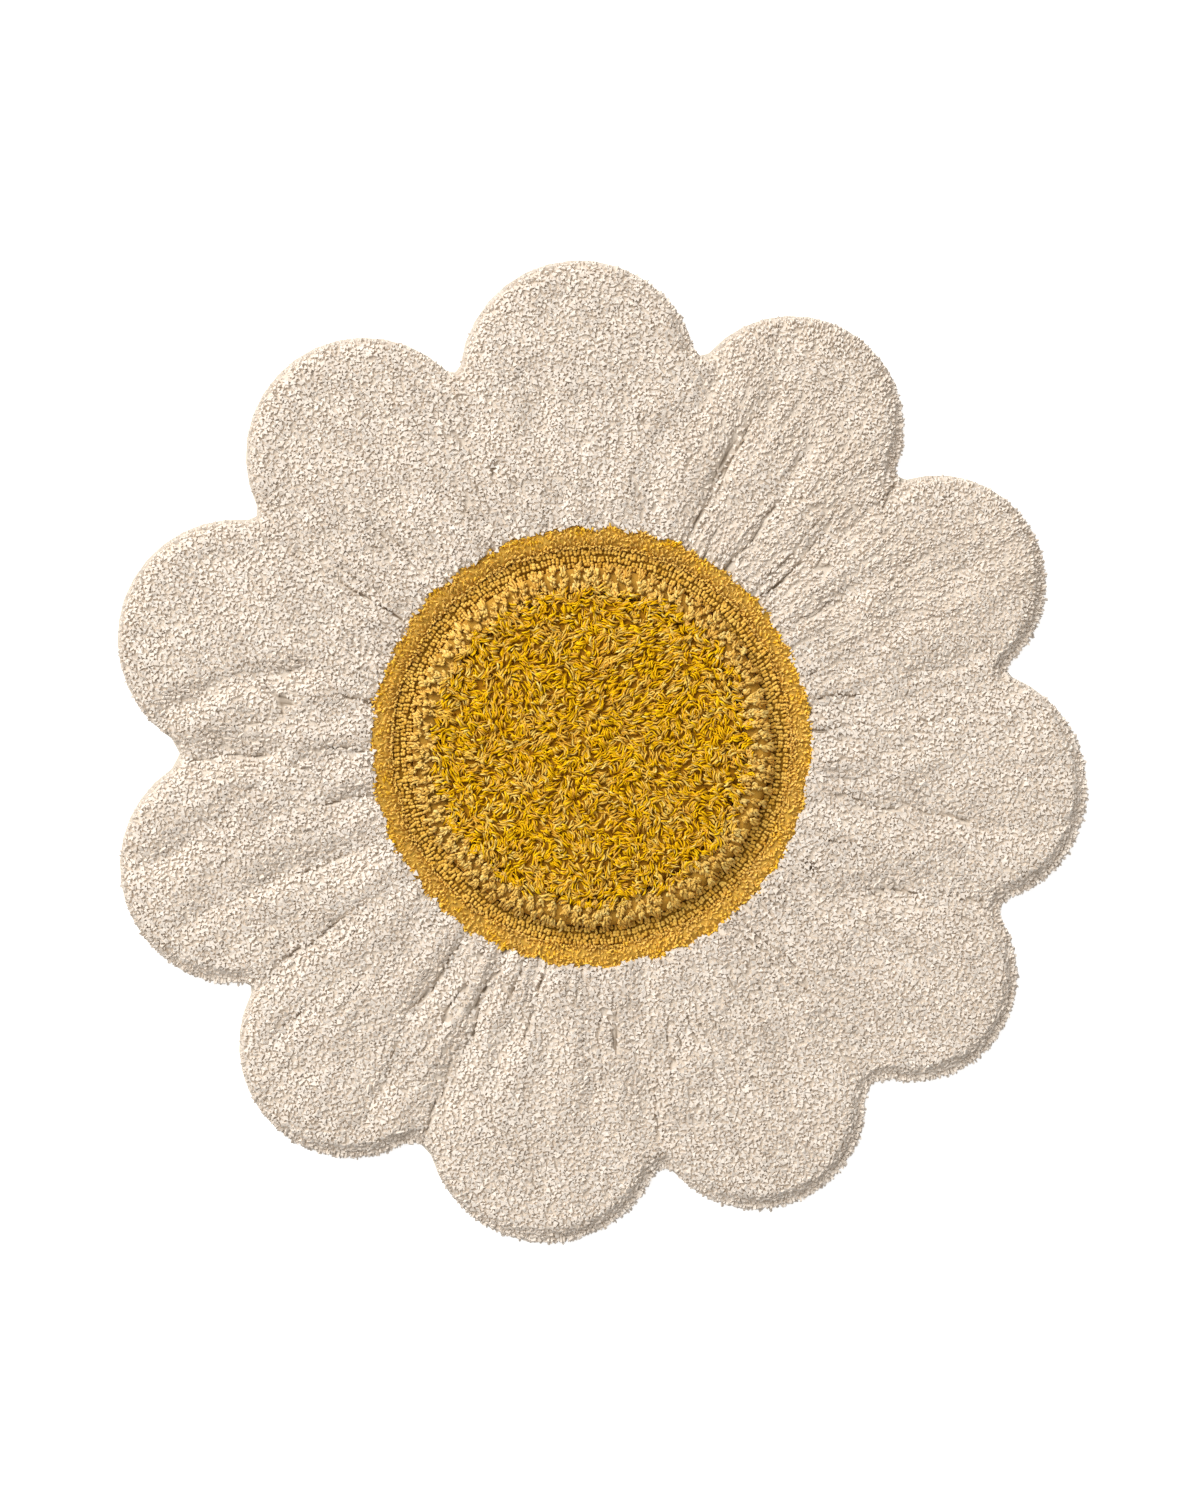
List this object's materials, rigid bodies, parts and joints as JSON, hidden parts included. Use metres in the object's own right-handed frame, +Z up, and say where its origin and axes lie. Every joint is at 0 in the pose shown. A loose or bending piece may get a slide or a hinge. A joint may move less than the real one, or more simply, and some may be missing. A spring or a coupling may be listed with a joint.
{
  "type": "flower-shaped tufted rug",
  "caption": "Flat tufted rug cut to a daisy outline, with cream cut-pile petals and a yellow eye of rim pile, bobbly loops, long pile and shag.",
  "frame": {"origin": "middle of the yellow eye, on the flat underside that lies on the floor", "axes": "+Z up out of the pile, +Y towards the top petal of the picture, +X to its right"},
  "size_m": [1.1845, 1.1995, 0.0303],
  "materials": {
    "backing_cotton": "plain woven cotton canvas, matt",
    "cream_pile": "short dense cream cotton cut pile, matt, nap combed unevenly",
    "mustard_pile": "short cut pile, heathered mustard and bright yellow",
    "ochre_loops": "round uncut loops of thick ochre cotton yarn",
    "ochre_long_pile": "long ochre cotton cut pile, combed outward",
    "yellow_shag": "long curly cotton shag, mixed bright yellow, ochre and pale yarns"
  },
  "bodies": {
    "root": {"backing_cloth": "backing_cotton", "petal_pile": "cream_pile", "rim_pile": "mustard_pile", "loop_ring": "ochre_loops", "long_pile_ring": "ochre_long_pile", "shag_disc": "yellow_shag"}
  },
  "joints": []
}
